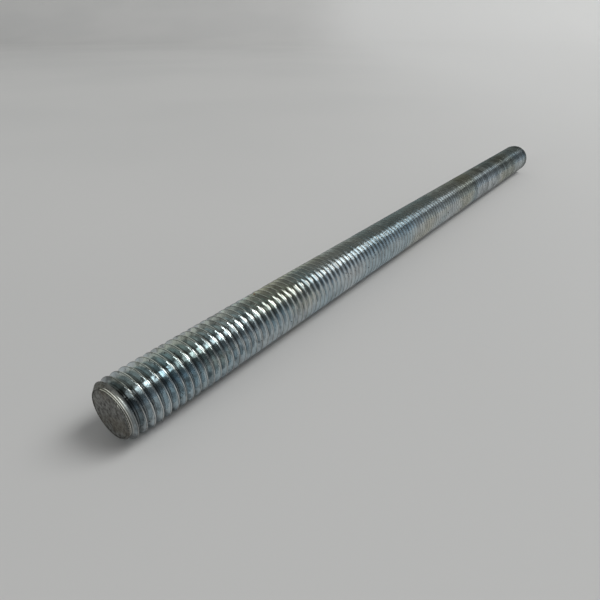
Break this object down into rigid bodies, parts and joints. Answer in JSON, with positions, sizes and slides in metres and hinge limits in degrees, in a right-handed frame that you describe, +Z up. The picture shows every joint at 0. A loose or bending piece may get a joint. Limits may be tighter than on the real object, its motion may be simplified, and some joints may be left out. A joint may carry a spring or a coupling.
{
  "type": "threaded rod",
  "caption": "Straight steel rod with a right-hand metric thread along its whole length and a chamfer at each end, for joining, hanging or bracing with nuts.",
  "frame": {"origin": "on the rod's axis, halfway between its two end faces", "axes": "+X along the rod's axis, +Z up, away from the surface that the rod lies on"},
  "size_m": [0.225, 0.012, 0.012],
  "materials": {
    "zinc_plated_steel": "bright blue-white zinc plate over rolled steel, slightly hazy"
  },
  "bodies": {
    "root": {"threaded_rod": "zinc_plated_steel"}
  },
  "joints": []
}
